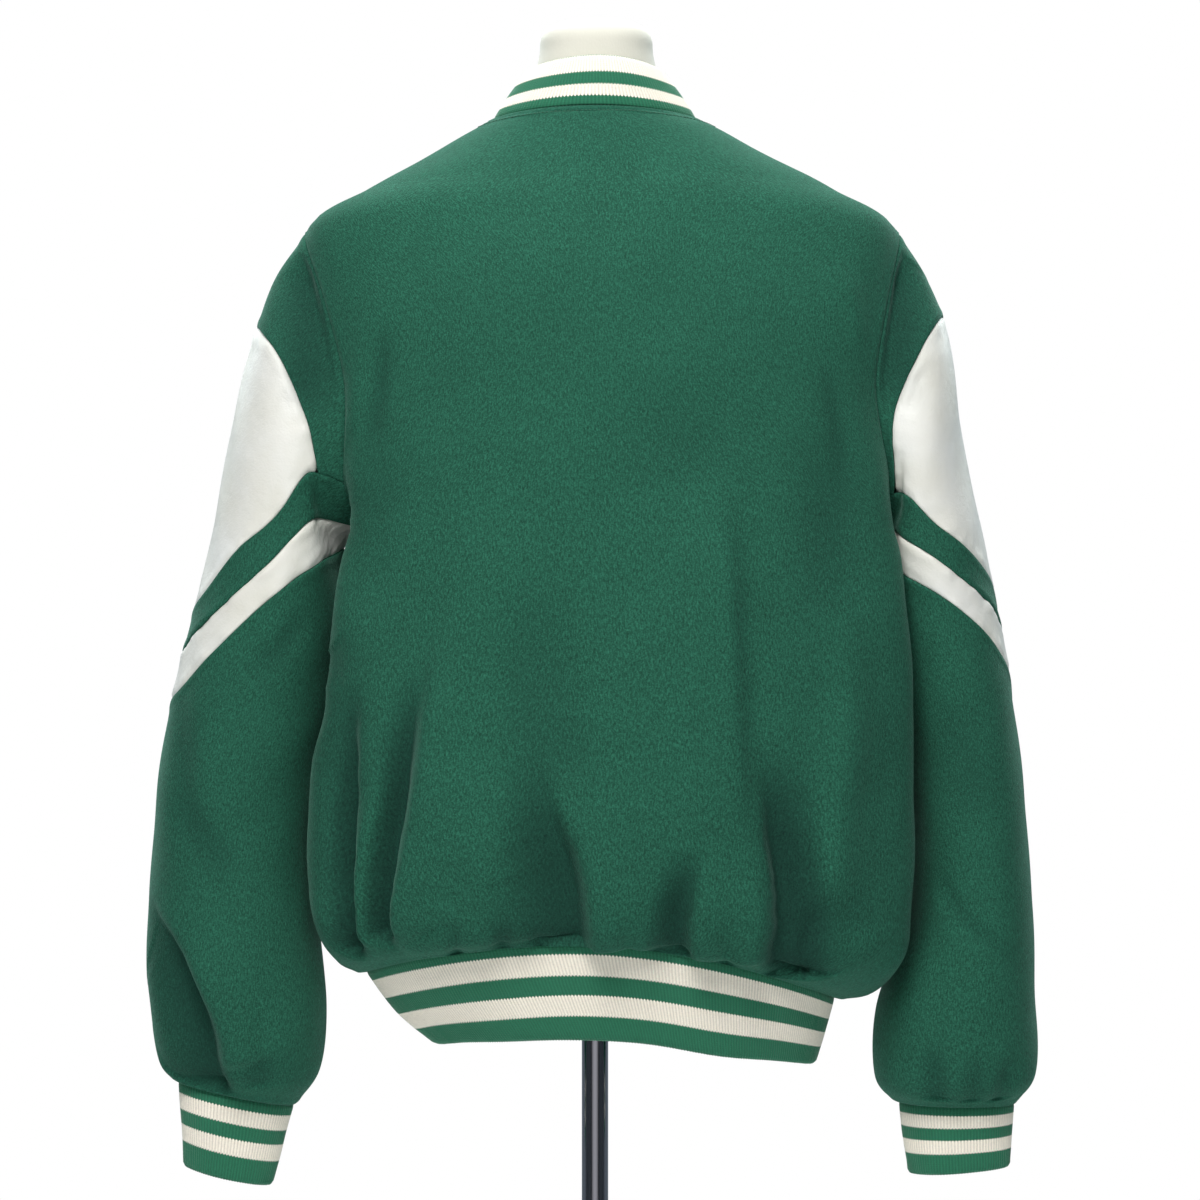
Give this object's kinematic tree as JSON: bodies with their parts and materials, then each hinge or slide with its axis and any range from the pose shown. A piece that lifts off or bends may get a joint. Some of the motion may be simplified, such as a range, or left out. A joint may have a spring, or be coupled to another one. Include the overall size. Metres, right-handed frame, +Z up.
{
  "type": "varsity jacket on dress form stand",
  "caption": "Wool varsity jacket with leather sleeve inserts and striped rib collar, cuffs and hem, snapped shut on a limbless dress form with a pole and a round base.",
  "frame": {"origin": "centre of the base's underside, on the floor", "axes": "+Z up along the pole, -Y out of the jacket's closure, +X to the wearer's left"},
  "size_m": [0.6432, 0.34, 1.536],
  "materials": {
    "wool": "felted melton wool, green",
    "leather": "smooth white cowhide, low sheen",
    "rib": "green rib knit with cream stripes",
    "thread": "green topstitching",
    "snap": "nickel-plated brass, satin",
    "form": "cream jersey over a moulded form",
    "tube": "chromed steel tube",
    "base": "satin chromed steel disc"
  },
  "bodies": {
    "root": {"back": "wool", "front_left": "wool", "front_right": "wool", "collar": "rib", "hem_rib": "rib", "sleeve_cap_left": "wool", "sleeve_leather_left": "leather", "sleeve_band_left": "wool", "sleeve_stripe_left": "leather", "sleeve_lower_left": "wool", "cuff_left": "rib", "sleeve_cap_right": "wool", "sleeve_leather_right": "leather", "sleeve_band_right": "wool", "sleeve_stripe_right": "leather", "sleeve_lower_right": "wool", "cuff_right": "rib", "snap_1": "snap", "snap_2": "snap", "snap_3": "snap", "snap_4": "snap", "snap_5": "snap", "snap_6": "snap", "snap_7": "snap", "form": "form", "pole": "tube", "base": "base"}
  },
  "joints": []
}
